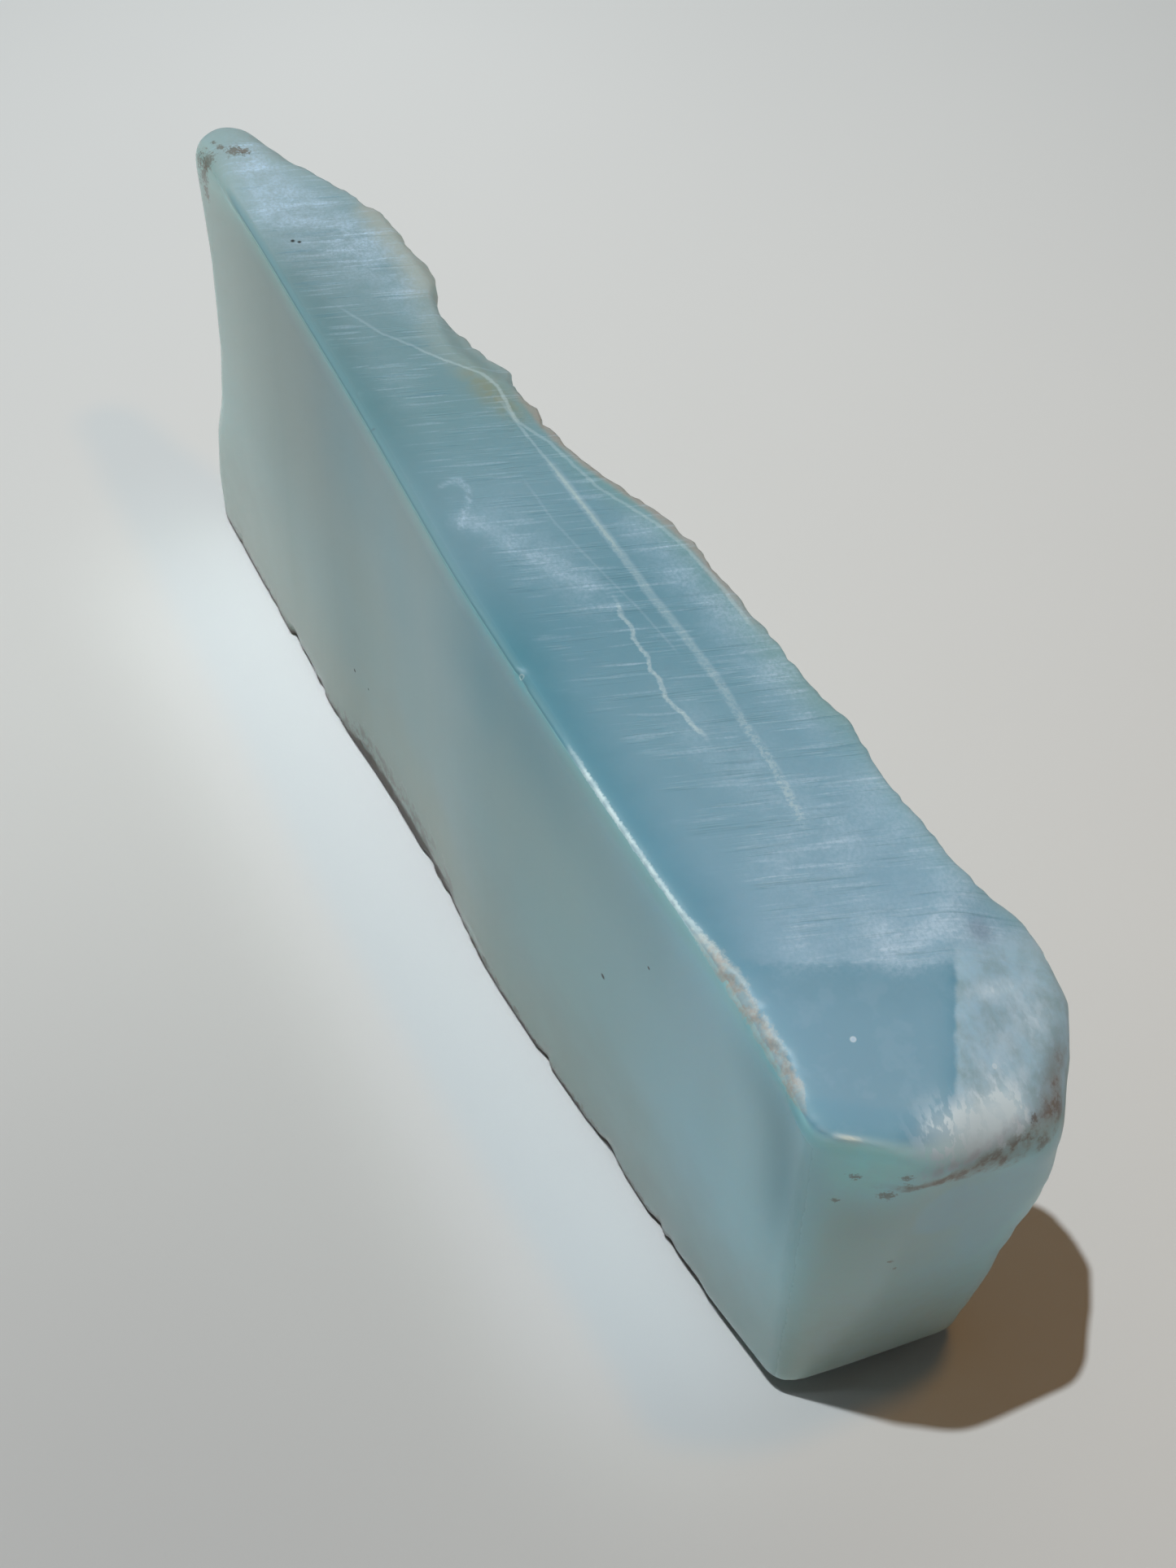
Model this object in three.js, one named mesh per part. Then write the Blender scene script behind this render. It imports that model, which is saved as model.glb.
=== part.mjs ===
import * as THREE from "three";

// One sawn sliver of stone standing on its long narrow side, in millimetres.
// +X runs along it to the thick end, +Y across to the broken side, +Z up.
// The tracks below are laid out from a point near the middle, and the finished
// stone is moved by (centreX, centreY) so that the origin is on the rest face,
// under the middle of its bounding box.
const centreX = 0.1;
const centreY = -0.12;

// Sawn top: a plane that falls a little towards the thick end.
const sawnHeight = 14.7;
const sawnFall = 0.0655;

// Smooth break past the last saw mark, where the top falls away faster.
const breakStartX = 14.4;
const breakStartY = -3.3;
const breakTurn = 27;
const breakSlope = 0.18;

// Milky facet worn on the broken side of the thick end.
const milkyStartX = 16.4;
const milkyStartY = 1.5;
const milkyTurn = 57;
const milkySlope = 0.45;

// End face of the thick end: x = endX + endSkew y + lean z, slightly twisted so
// that it leans out more towards the broken side.
const endX = 18.6;
const endSkew = 0.13;
const wallLean = 0.05;
const brokenLean = 0.13;

// Rest face: level up to liftStart, then rising gently to the thick end.
const liftStart = 11.5;
const liftSlope = 0.085;

// Rounding widths where two faces meet.
const wallEdgeRound = 0.22;
const tipRound = 0.95;
const wornCornerRound = 1.5;
const endCornerRound = 0.7;
const footRound = 0.3;
const creaseRound = 0.4;

// Smooth wall, seen from above: y of its foot and y of its top edge.
const wallFoot = [
  [-20.6, -3.22], [-16, -3.37], [-11.5, -3.52], [-8.5, -3.62], [-5.5, -3.46], [-1.5, -3.5],
  [2.5, -3.77], [6.5, -3.64], [10.5, -3.42], [14.2, -3.36], [16.4, -3.2], [18.4, -3],
];
const wallTop = [
  [-18.8, -2.75], [-15.5, -2.8], [-12.7, -2.85], [-9, -2.98], [-5.2, -3.1], [-1.8, -3.27],
  [1.5, -3.43], [6, -3.45], [11.3, -3.42], [15, -3.27], [17.9, -3.3], [19.2, -3.45],
];

// Rim of the broken side, seen from above, with its two ledges.
const rim = [
  [-19.4, -1.2], [-18, -0.72], [-16.6, -0.38], [-15, 0.06], [-13.8, 0.4], [-13.1, 0.6],
  [-12.7, 0.98], [-11.8, 1.02], [-10.6, 1.08], [-9.8, 1.2], [-9.2, 1.05], [-8.6, 0.68],
  [-7.8, 0.55], [-6.4, 0.87], [-5, 1.28], [-4.5, 1], [-3.6, 1.1], [-2, 1.18], [-0.7, 1.45],
  [1.6, 2.2], [3, 2.5], [5.8, 2.58], [8.3, 2.7], [9.7, 2.96], [11.5, 2.83], [14.4, 2.9],
  [15.1, 3.2], [16, 3.75], [16.9, 4], [17.8, 3.92], [18.7, 3.5], [19.5, 2.9], [20.4, 2.2],
];

// The same side halfway down, where the ledges have run out.
const waist = [
  [-20, -2], [-16, -0.85], [-12, 0.25], [-8, 0.55], [-4, 0.85], [0, 1.55], [4, 2.35],
  [10, 2.65], [14, 2.75], [16.5, 3.45], [18, 3.65], [19, 3.35], [20.2, 2.75],
];

// How far the broken side draws in below the rim, by height above the rest face.
const undercut = [
  [0, 1.5], [2.5, 1.2], [5, 0.85], [8, 0.45], [10, 0.28], [12, 0.05], [13, 0], [16, 0],
];

// Ledges along the rim: where each step begins in y, and how deep it goes.
const ledgeStep = [
  [-13.6, 1.1], [-12.9, 0.7], [-10.5, 0.75], [-9.2, 0.7], [-8.2, 0.4], [-7.2, 0.1],
  [-6.4, 0.05], [-5.2, 0.4], [-4.2, 0.8], [-3.6, 2],
];
const ledgeDepth = [
  [-13.7, 0], [-12.8, 0.22], [-9, 0.26], [-8, 0.2], [-5, 0.2], [-3.8, 0],
];
const ledgeEase = 0.6;

// Narrow end, seen from the wall: x of the end at each height.
const narrowEnd = [
  [0, -20.45], [2, -20.6], [4.2, -20.1], [6, -19.2], [8.5, -18.6], [12, -18.45], [16, -19.1],
];

// Broken relief of the rough side.
const reliefDepth = 0.55;
const reliefLength = 4.6;
const reliefHeight = 3.1;

// How finely the faces are divided.
const stationCount = 92;
const capRings = 5;
const wallSteps = 8;
const topSteps = 10;
const rimSteps = 4;
const roughSteps = 21;
const footSteps = 4;

function mix(a, b, share) {
  return a + (b - a) * share;
}

function clamp(value, low, high) {
  return Math.min(high, Math.max(low, value));
}

function ease(low, high, value) {
  const share = clamp((value - low) / (high - low), 0, 1);
  return share * share * (3 - 2 * share);
}

// Value of a track of [place, value] points, straight between them.
function along(track, place) {
  if (place <= track[0][0]) {
    return track[0][1];
  }
  for (let i = 1; i < track.length; i += 1) {
    if (place <= track[i][0]) {
      const share = (place - track[i - 1][0]) / (track[i][0] - track[i - 1][0]);
      return mix(track[i - 1][1], track[i][1], share);
    }
  }
  return track[track.length - 1][1];
}

// The larger of two face distances, with the edge between them rounded.
function roundedMax(a, b, width) {
  const overlap = Math.max(width - Math.abs(a - b), 0) / width;
  return Math.max(a, b) + overlap * overlap * width * 0.25;
}

// A fixed value between -1 and 1 for each corner of a square lattice.
function latticeValue(column, row) {
  const spread = Math.sin(column * 127.1 + row * 311.7) * 43758.5453;
  return 2 * (spread - Math.floor(spread)) - 1;
}

// Lattice values blended smoothly between the corners.
function lumps(u, v) {
  const column = Math.floor(u);
  const row = Math.floor(v);
  const across = ease(0, 1, u - column);
  const up = ease(0, 1, v - row);
  const low = mix(latticeValue(column, row), latticeValue(column + 1, row), across);
  const high = mix(latticeValue(column, row + 1), latticeValue(column + 1, row + 1), across);
  return mix(low, high, up);
}

// The same lumps folded over, so that they meet in crests and valleys.
function ridges(u, v) {
  return 1 - 2.4 * Math.abs(lumps(u, v));
}

// Distance from a line in plan through a point, turned by an angle in degrees.
function pastLine(x, y, startX, startY, turn) {
  const angle = THREE.MathUtils.degToRad(turn);
  return (x - startX) * Math.cos(angle) + (y - startY) * Math.sin(angle);
}

function topHeight(x, y) {
  const sawn = sawnHeight - sawnFall * x;
  const pastBreak = roundedMax(pastLine(x, y, breakStartX, breakStartY, -breakTurn), 0, creaseRound);
  const pastMilky = roundedMax(pastLine(x, y, milkyStartX, milkyStartY, milkyTurn), 0, creaseRound);
  const step = along(ledgeDepth, x) * ease(0, ledgeEase, y - along(ledgeStep, x));
  return sawn - (breakSlope - sawnFall) * pastBreak - milkySlope * pastMilky - step;
}

function wallPlace(x, z) {
  return mix(along(wallFoot, x), along(wallTop, x), clamp(z / topHeight(x, -3), 0, 1));
}

function roughPlace(x, z) {
  const coarse = ridges(x / reliefLength + 0.4 * (z / reliefHeight), z / reliefHeight);
  const fine = ridges(2.3 * x / reliefLength - z / reliefHeight, 1.9 * z / reliefHeight + 7);
  const level = ease(-3.6, -0.6, z - topHeight(x, along(rim, x)));
  const fade = (1 - level) * (1 - 0.8 * ease(16, 18.5, x)) * ease(-20, -14, x);
  const relief = reliefDepth * (0.65 * coarse + 0.35 * fine) * fade;
  const drawnIn = along(undercut, z) * mix(0.3, 1, ease(-20, -12, x));
  return mix(along(waist, x), along(rim, x), level) - drawnIn + relief;
}

function endPlace(y, z) {
  return endX + endSkew * y + mix(wallLean, brokenLean, ease(-3.4, -1, y)) * z;
}

// Rounding of the top edges: crisp on the wall, soft at the tip and worn corner.
function topRound(x, y) {
  const worn = (wornCornerRound - wallEdgeRound) * ease(-2.4, -1, y) * ease(17.4, 19.4, x);
  const soft = 0.5 * ease(16, 17.5, x) * ease(1, 2.5, y);
  const tip = (tipRound - wallEdgeRound) * (1 - ease(-17.5, -14, x));
  return wallEdgeRound + worn + soft * (1 - ease(17.4, 19.4, x)) + tip;
}

// Below zero inside the stone, above zero outside it.
function stone(x, y, z) {
  const wall = wallPlace(x, z) - y;
  const rough = y - roughPlace(x, z);
  const narrow = along(narrowEnd, z) - x;
  const thick = x - endPlace(y, z);
  const top = z - topHeight(x, y);
  const foot = Math.max(0, liftSlope * (x - liftStart)) - z;
  const wallSide = roundedMax(wall, narrow, tipRound);
  const roughSide = roundedMax(rough, thick, endCornerRound);
  const sides = roundedMax(wallSide, roughSide, endCornerRound);
  const upper = roundedMax(sides, top, topRound(x, y));
  return roundedMax(upper, foot, footRound);
}

// Where the line from inside the stone through an aim point leaves the stone.
function surfaceThrough(inside, aim) {
  let near = 0;
  let far = 2.2;
  const reach = new THREE.Vector3().subVectors(aim, inside);
  for (let i = 0; i < 44; i += 1) {
    const middle = (near + far) / 2;
    const here = inside.clone().addScaledVector(reach, middle);
    if (stone(here.x, here.y, here.z) < 0) {
      near = middle;
    } else {
      far = middle;
    }
  }
  return inside.clone().addScaledVector(reach, (near + far) / 2);
}

// The upright sheet inside the stone that the lines start from.
function insideOf(aim) {
  const x = clamp(aim.x, -16.6, 16.4);
  const top = topHeight(x, mix(along(wallTop, x), along(rim, x), 0.5));
  const z = clamp(aim.z, 2.4, top - 2.6);
  return new THREE.Vector3(x, (wallPlace(x, z) + roughPlace(x, z)) / 2, z);
}

// Shares of a side, closer together towards both of its edges.
function shares(count) {
  const list = [];
  for (let i = 0; i < count; i += 1) {
    const even = i / count;
    list.push(mix(even, (1 - Math.cos(Math.PI * even)) / 2, 0.6));
  }
  return list;
}

// Aim points of one ring: up the wall, over the top and rim, down the rough side, along the foot.
function ringAims(share) {
  const aims = [];
  const sides = [wallSteps, topSteps, rimSteps, roughSteps, footSteps];
  sides.forEach((count, side) => {
    shares(count).forEach((part) => {
      let x = mix(-18, 18, share);
      let y = 0;
      let z = 0;
      for (let pass = 0; pass < 3; pass += 1) {
        const edge = along(rim, x);
        const inner = Math.min(along(ledgeStep, x), edge - 0.4);
        const corners = [
          [along(wallFoot, x), Math.max(0, liftSlope * (x - liftStart))],
          [along(wallTop, x), topHeight(x, along(wallTop, x))],
          [inner, topHeight(x, inner)],
          [edge, topHeight(x, edge - 0.1)],
          [roughPlace(x, 0), Math.max(0, liftSlope * (x - liftStart))],
        ];
        const from = corners[side];
        const to = corners[(side + 1) % corners.length];
        y = mix(from[0], to[0], part);
        z = mix(from[1], to[1], part);
        x = mix(along(narrowEnd, z), endPlace(y, z), share);
      }
      aims.push(new THREE.Vector3(x, y, z));
    });
  });
  return aims;
}

function middleOf(points) {
  const sum = new THREE.Vector3();
  points.forEach((point) => sum.add(point));
  return sum.divideScalar(points.length);
}

// Rings drawn in from an end ring to a single point in the middle of that end.
function capAims(ring) {
  const middle = middleOf(ring);
  const rings = [];
  for (let i = 1; i < capRings; i += 1) {
    const share = 1 - i / capRings;
    rings.push(ring.map((aim) => middle.clone().lerp(aim, share)));
  }
  return { rings, middle };
}

function buildStone() {
  const body = [];
  for (let i = 0; i <= stationCount; i += 1) {
    const even = i / stationCount;
    body.push(ringAims(mix(even, (1 - Math.cos(Math.PI * even)) / 2, 0.25)));
  }
  const narrow = capAims(body[0]);
  const thick = capAims(body[body.length - 1]);
  const rings = [...narrow.rings.reverse(), ...body, ...thick.rings];
  const around = body[0].length;
  const points = [];
  const place = (aim) => {
    const point = surfaceThrough(insideOf(aim), aim);
    if (Math.abs(point.z) < 0.0005) {
      point.z = 0;
    }
    points.push(point.x, point.y, point.z);
  };
  place(narrow.middle);
  rings.forEach((ring) => ring.forEach(place));
  place(thick.middle);
  const last = rings.length * around + 1;
  const at = (ring, step) => 1 + ring * around + (step % around);
  const faces = [];
  for (let step = 0; step < around; step += 1) {
    faces.push(0, at(0, step), at(0, step + 1));
    for (let ring = 0; ring + 1 < rings.length; ring += 1) {
      faces.push(at(ring, step), at(ring + 1, step), at(ring + 1, step + 1));
      faces.push(at(ring, step), at(ring + 1, step + 1), at(ring, step + 1));
    }
    faces.push(last, at(rings.length - 1, step + 1), at(rings.length - 1, step));
  }
  const geometry = new THREE.BufferGeometry();
  geometry.setAttribute("position", new THREE.Float32BufferAttribute(points, 3));
  geometry.setIndex(faces);
  geometry.computeVertexNormals();
  return geometry;
}

const larimar = new THREE.MeshStandardMaterial({ color: "#84a9b4", roughness: 0.42, metalness: 0 });
const stoneMesh = new THREE.Mesh(buildStone(), larimar);
stoneMesh.name = "larimar_stone";
stoneMesh.position.set(centreX, centreY, 0);

const part = new THREE.Group();
part.name = "sawn_larimar";
part.add(stoneMesh);

export default part;
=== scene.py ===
# A sawn sliver of larimar standing on its long narrow side, on a plain pale floor.
import math
from types import SimpleNamespace
import bpy
import numpy as np
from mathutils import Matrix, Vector


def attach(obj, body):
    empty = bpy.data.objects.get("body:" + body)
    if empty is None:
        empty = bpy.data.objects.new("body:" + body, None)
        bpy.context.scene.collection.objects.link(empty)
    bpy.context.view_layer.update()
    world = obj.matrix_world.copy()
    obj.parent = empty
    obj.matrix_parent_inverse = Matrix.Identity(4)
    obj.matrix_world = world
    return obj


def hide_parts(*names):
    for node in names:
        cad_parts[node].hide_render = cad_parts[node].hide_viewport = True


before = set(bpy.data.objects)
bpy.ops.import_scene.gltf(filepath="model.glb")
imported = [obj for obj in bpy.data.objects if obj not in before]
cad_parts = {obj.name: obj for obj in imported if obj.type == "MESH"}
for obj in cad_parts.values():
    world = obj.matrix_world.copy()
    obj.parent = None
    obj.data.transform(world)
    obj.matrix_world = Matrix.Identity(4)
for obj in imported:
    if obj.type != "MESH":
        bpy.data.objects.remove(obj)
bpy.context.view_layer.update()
print("frame loaded")

# The stone's shape in millimetres: +X runs to the thick end, +Y to the broken side, +Z up.
# Each track is a list of (place, value) points with straight runs between them.
stoneShape = {
    "centre": (0.1, -0.12),  # moves the laid-out stone over the origin
    "sawnHeight": 14.7, "sawnFall": 0.0655,
    "breakStart": (14.4, -3.3), "breakTurn": -27, "breakSlope": 0.18,
    "milkyStart": (16.4, 1.5), "milkyTurn": 57, "milkySlope": 0.45,
    "endX": 18.6, "endSkew": 0.13, "wallLean": 0.05, "brokenLean": 0.13,
    "liftStart": 11.5, "liftSlope": 0.085,
    "wallEdgeRound": 0.03, "rimRound": 0.16, "tipRound": 0.95, "wornCornerRound": 1.5,
    # x over which the worn corner sets in, a lighter wear before it, and where the tip's wear ends
    "worn": (17.4, 19.4), "wearBefore": 0.5, "tip": (-17.5, -14),
    "endCornerRound": 0.7, "footRound": 0.3, "creaseRound": 0.4,
    "wallFoot": [
        (-20.6, -3.22), (-16, -3.37), (-11.5, -3.52), (-8.5, -3.62), (-5.5, -3.46), (-1.5, -3.5),
        (2.5, -3.77), (6.5, -3.64), (10.5, -3.42), (14.2, -3.36), (16.4, -3.2), (18.4, -3),
    ],
    "wallTop": [
        (-18.8, -2.75), (-15.5, -2.8), (-12.7, -2.85), (-9, -2.98), (-5.2, -3.1), (-1.8, -3.27),
        (1.5, -3.43), (6, -3.45), (11.3, -3.42), (15, -3.27), (17.9, -3.3), (19.2, -3.45),
    ],
    "rim": [
        (-19.4, -1.2), (-18, -0.72), (-16.6, -0.38), (-15, 0.06), (-13.8, 0.4), (-13.1, 0.6),
        (-12.7, 0.98), (-11.8, 1.02), (-10.6, 1.08), (-9.8, 1.2), (-9.2, 1.05), (-8.6, 0.68),
        (-7.8, 0.55), (-6.4, 0.87), (-5, 1.28), (-4.5, 1), (-3.6, 1.1), (-2, 1.18), (-0.7, 1.45),
        (1.6, 2.2), (3, 2.5), (5.8, 2.58), (8.3, 2.7), (9.7, 2.96), (11.5, 2.83), (14.4, 2.9),
        (15.1, 3.2), (16, 3.75), (16.9, 4), (17.8, 3.92), (18.7, 3.5), (19.5, 2.9), (20.4, 2.2),
    ],
    "waist": [
        (-20, -2), (-16, -0.85), (-12, 0.25), (-8, 0.55), (-4, 0.85), (0, 1.55), (4, 2.35),
        (10, 2.65), (14, 2.75), (16.5, 3.45), (18, 3.65), (19, 3.35), (20.2, 2.75),
    ],
    "undercut": [
        (0, 1.5), (2.5, 1.2), (5, 0.85), (8, 0.45), (10, 0.28), (12, 0.05), (13, 0), (16, 0),
    ],
    "ledgeStep": [
        (-13.6, 1.1), (-12.9, 0.7), (-10.5, 0.75), (-9.2, 0.7), (-8.2, 0.4), (-7.2, 0.1),
        (-6.4, 0.05), (-5.2, 0.4), (-4.2, 0.8), (-3.6, 2),
    ],
    "ledgeDepth": [(-13.7, 0), (-12.8, 0.22), (-9, 0.26), (-8, 0.2), (-5, 0.2), (-3.8, 0)],
    "ledgeEase": 0.6,
    "narrowEnd": [
        (0, -20.45), (2, -20.6), (4.2, -20.1), (6, -19.2), (8.5, -18.6), (12, -18.45), (16, -19.1),
    ],
    "reliefDepth": 0.55, "reliefLength": 4.6, "reliefHeight": 3.1,
    # small wear that only the fine surface has
    "edgeChip": [
        (-19, 0), (4.9, 0), (5.1, 0.1), (5.4, 0.1), (5.6, 0), (7.4, 0), (9.0, 0.045), (12.6, 0.06),
        (13.8, 0.09), (15, 0.14), (16.8, 0.18), (17.8, 0.1), (18.2, 0.06), (18.9, 0.2), (20, 0.25),
    ],
    "edgeChipWander": 0.42, "edgeChipRound": 0.14,
    "footNibble": 0.16, "rimNibble": 0.07,
    "splinterDepth": 0.13, "grainDepth": 0.045,
}

# Mesh divisions: rings along the stone and over each end, and steps round a ring: up the wall,
# over the top, over the rim, down the broken side and along the foot.
stoneMesh = {
    "stations": 420, "capRings": 42, "steps": (42, 40, 18, 80, 14),
    "gather": 0.92, "endGather": 0.25,  # how points crowd to the sides' edges and the two ends
    # inner sheet: its x range and the gaps below and above it; then how lines are searched
    "sheetEnds": (-16.6, 16.4), "sheetMargins": (2.4, 2.6),
    "farthest": 2.2, "halvings": 26, "settlings": 3, "levelWithin": 0.0005,
}


def mix(a, b, share):
    return a + (b - a) * share


def ease(low, high, value):  # smooth step from 0 at low to 1 at high
    share = np.clip((value - low) / (high - low), 0, 1)
    return share * share * (3 - 2 * share)


def along(track, place):  # the track's value at each place, straight between its points
    places, values = zip(*track)
    return np.interp(place, places, values)


def softlyAlong(track, place):  # the track's mean over 2.4 mm, so that its bends are smooth
    return sum(along(track, place + step) for step in (-1.2, -0.6, 0, 0.6, 1.2)) / 5


def roundedMax(a, b, width):  # the larger distance, with a quadratic bulge where the two cross
    overlap = np.maximum(width - np.abs(a - b), 0) / width
    return np.maximum(a, b) + overlap * overlap * width * 0.25


def latticeValue(column, row):  # a fixed value from -1 to 1 for each lattice corner
    spread = np.sin(column * 127.1 + row * 311.7) * 43758.5453
    return 2 * (spread - np.floor(spread)) - 1


def lumps(u, v):  # lattice values blended smoothly between the corners
    column, row = np.floor(u), np.floor(v)
    across, up = ease(0, 1, u - column), ease(0, 1, v - row)
    low = mix(latticeValue(column, row), latticeValue(column + 1, row), across)
    high = mix(latticeValue(column, row + 1), latticeValue(column + 1, row + 1), across)
    return mix(low, high, up)


def ridges(u, v):  # lumps folded over at zero, so they meet in crests
    return 1 - 2.4 * np.abs(lumps(u, v))


def pastLine(name, x, y):  # distance in plan past the line where the break or milky facet starts
    (startX, startY), turn = stoneShape[name + "Start"], math.radians(stoneShape[name + "Turn"])
    return (x - startX) * math.cos(turn) + (y - startY) * math.sin(turn)


# Sawn plane falling along X, less two planes falling away past their lines, less the ledges.
def topHeight(x, y):
    shape = stoneShape
    sawn = shape["sawnHeight"] - shape["sawnFall"] * x
    overBreak = roundedMax(pastLine("break", x, y), 0, shape["creaseRound"])
    overMilky = roundedMax(pastLine("milky", x, y), 0, shape["creaseRound"])
    onLedge = ease(0, shape["ledgeEase"], y - along(shape["ledgeStep"], x))
    step = along(shape["ledgeDepth"], x) * onLedge
    falls = (shape["breakSlope"] - shape["sawnFall"]) * overBreak + shape["milkySlope"] * overMilky
    return sawn - falls - step


# The wall runs straight from its foot track to its top track.
def wallPlace(x, z):
    rise = np.clip(z / topHeight(x, -3), 0, 1)
    return mix(softlyAlong(stoneShape["wallFoot"], x), softlyAlong(stoneShape["wallTop"], x), rise)


# Small bites out of the wall's lower edge, fading out a little way up.
def footNibble(x, z):
    bites = np.clip(lumps(1.1 * x + 4, 0.6 * z) + 0.5 * lumps(3.1 * x, 1.3 * z), 0, 1)
    return stoneShape["footNibble"] * bites * (1 - ease(0.1, 0.9, z))


# Broken relief from -1 to 1: crests in two sizes, slanting along the stone.
def brokenRelief(x, z):
    u, v = x / stoneShape["reliefLength"], z / stoneShape["reliefHeight"]
    return 0.65 * ridges(u + 0.4 * v, v) + 0.35 * ridges(2.3 * u - v, 1.9 * v + 7)


# Splinters and grain on the break: narrow slanting crests, and small lumps between them.
def brokenGrain(x, z):
    splinters = ridges(1.1 * x + 0.5 * z, 0.34 * z - 0.2 * x + 3) * 0.6
    splinters = splinters + ridges(2.3 * x + 0.9 * z + 5, 0.8 * z) * 0.4
    grain = lumps(3.1 * x + 11, 2.7 * z) + 0.5 * lumps(6.3 * x, 5.9 * z + 4)
    return stoneShape["splinterDepth"] * splinters + stoneShape["grainDepth"] * grain


# Waist track low down and rim track near the top, drawn in by the undercut, plus relief.
def roughPlace(x, z):
    shape = stoneShape
    level = ease(-3.6, -0.6, z - topHeight(x, along(shape["rim"], x)))
    fade = (1 - level) * (1 - 0.8 * ease(16, 18.5, x)) * ease(-20, -14, x)
    drawnIn = along(shape["undercut"], z) * mix(0.3, 1, ease(-20, -12, x))
    nibble = shape["rimNibble"] * (lumps(1.9 * x + 2, 0.3 * z) + 0.6 * lumps(4.7 * x, 0.4 * z + 9))
    nibble = nibble * level * ease(*shape["tip"], x) * (1 - ease(15, 18, x))
    line = mix(along(shape["waist"], x), along(shape["rim"], x), level) + nibble
    grainFade = (0.35 + 0.65 * (1 - level)) * (1 - 0.75 * ease(16.5, 18.5, x)) * ease(-20.5, -16, x)
    relief = shape["reliefDepth"] * brokenRelief(x, z) * fade
    return line - drawnIn + relief + brokenGrain(x, z) * grainFade


def endPlace(y, z):  # end face leaning out more towards the broken side
    shape = stoneShape
    lean = mix(shape["wallLean"], shape["brokenLean"], ease(-3.4, -1, y))
    return shape["endX"] + shape["endSkew"] * y + lean * z


def topRound(x, y):  # edge rounding: crisp on the wall, soft at the tip and the worn corner
    shape = stoneShape
    atWorn, pastTip = ease(*shape["worn"], x), ease(*shape["tip"], x)
    crisp = mix(shape["wallEdgeRound"], shape["rimRound"], ease(-2.6, -1.6, y))
    worn = (shape["wornCornerRound"] - crisp) * ease(-2.4, -1, y) * atWorn
    soft = shape["wearBefore"] * ease(16, 17.5, x) * ease(1, 2.5, y) * (1 - atWorn)
    return crisp + worn + soft + (shape["tipRound"] - crisp) * (1 - pastTip)


# Size of the chips knocked off the wall's top edge, wandering along it.
def chipSize(x, z):
    wander = lumps(4.6 * x, 3.1 * z) + 0.8 * lumps(8.7 * x, 7.3 * z + 3)
    return along(stoneShape["edgeChip"], x) * (1 + stoneShape["edgeChipWander"] * wander)


# Distance-like depth: below zero inside the stone, above zero outside it.
def stoneDepth(x, y, z):
    shape = stoneShape
    wall = wallPlace(x, z) + footNibble(x, z) - y
    rough = y - roughPlace(x, z)
    narrow = along(shape["narrowEnd"], z) - x
    thick = x - endPlace(y, z)
    top = z - topHeight(x, y)
    foot = footLift(x) - z
    wallSide = roundedMax(wall, narrow, shape["tipRound"])
    roughSide = roundedMax(rough, thick, shape["endCornerRound"])
    sides = roundedMax(wallSide, roughSide, shape["endCornerRound"])
    upper = roundedMax(sides, top, topRound(x, y))
    chip = (wall + top) * math.sqrt(0.5) + chipSize(x, z)
    upper = roundedMax(upper, chip, shape["edgeChipRound"])
    return roundedMax(upper, foot, shape["footRound"])


def footLift(x):  # rest face, level and then rising to the thick end
    return np.maximum(0, stoneShape["liftSlope"] * (x - stoneShape["liftStart"]))


# Where the line to an aim starts: the nearest point of an upright sheet in the stone's middle.
def insideOf(aim):
    below, above = stoneMesh["sheetMargins"]
    x = np.clip(aim[..., 0], *stoneMesh["sheetEnds"])
    middle = mix(along(stoneShape["wallTop"], x), along(stoneShape["rim"], x), 0.5)
    z = np.clip(aim[..., 2], below, topHeight(x, middle) - above)
    return np.stack([x, (wallPlace(x, z) + roughPlace(x, z)) / 2, z], -1)


# Halves the stretch of each line from inside through its aim until it holds the surface.
def surfaceThrough(inside, aim):
    near = np.zeros(aim.shape[:-1])
    far = near + stoneMesh["farthest"]
    reach = aim - inside
    for halving in range(stoneMesh["halvings"]):
        middle = (near + far) / 2
        here = inside + reach * middle[..., None]
        within = stoneDepth(here[..., 0], here[..., 1], here[..., 2]) < 0
        near = np.where(within, middle, near)
        far = np.where(within, far, middle)
    return inside + reach * ((near + far) / 2)[..., None]


def gathered(even, amount):  # even shares drawn towards 0 and 1 along half a cosine
    return mix(even, (1 - np.cos(math.pi * even)) / 2, amount)


def ringCorners(x):  # wall foot, wall edge, inner ledge line, rim and rough foot at each x
    shape = stoneShape
    edge = along(shape["rim"], x)
    inner = np.minimum(along(shape["ledgeStep"], x), edge - 0.4)
    wallEdge = along(shape["wallTop"], x)
    return [
        (along(shape["wallFoot"], x), footLift(x)),
        (wallEdge, topHeight(x, wallEdge)),
        (inner, topHeight(x, inner)),
        (edge, topHeight(x, edge - 0.1)),
        (roughPlace(x, 0 * x), footLift(x)),
    ]


# Aim points on closed rings: y and z run between a ring's corners, and x between the ends' places
# at that y and z, settled in a few passes.
def ringAims(share):
    sides = []
    for side, count in enumerate(stoneMesh["steps"]):
        part = gathered(np.arange(count) / count, stoneMesh["gather"])[None, :]
        x = mix(-18, 18, share[:, None]) + 0 * part
        for settling in range(stoneMesh["settlings"]):
            corners = ringCorners(x)
            (fromY, fromZ), (toY, toZ) = corners[side], corners[(side + 1) % 5]
            y, z = mix(fromY, toY, part), mix(fromZ, toZ, part)
            x = mix(along(stoneShape["narrowEnd"], z), endPlace(y, z), share[:, None])
        sides.append(np.stack([x, y, z], -1))
    return np.concatenate(sides, 1)


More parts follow.
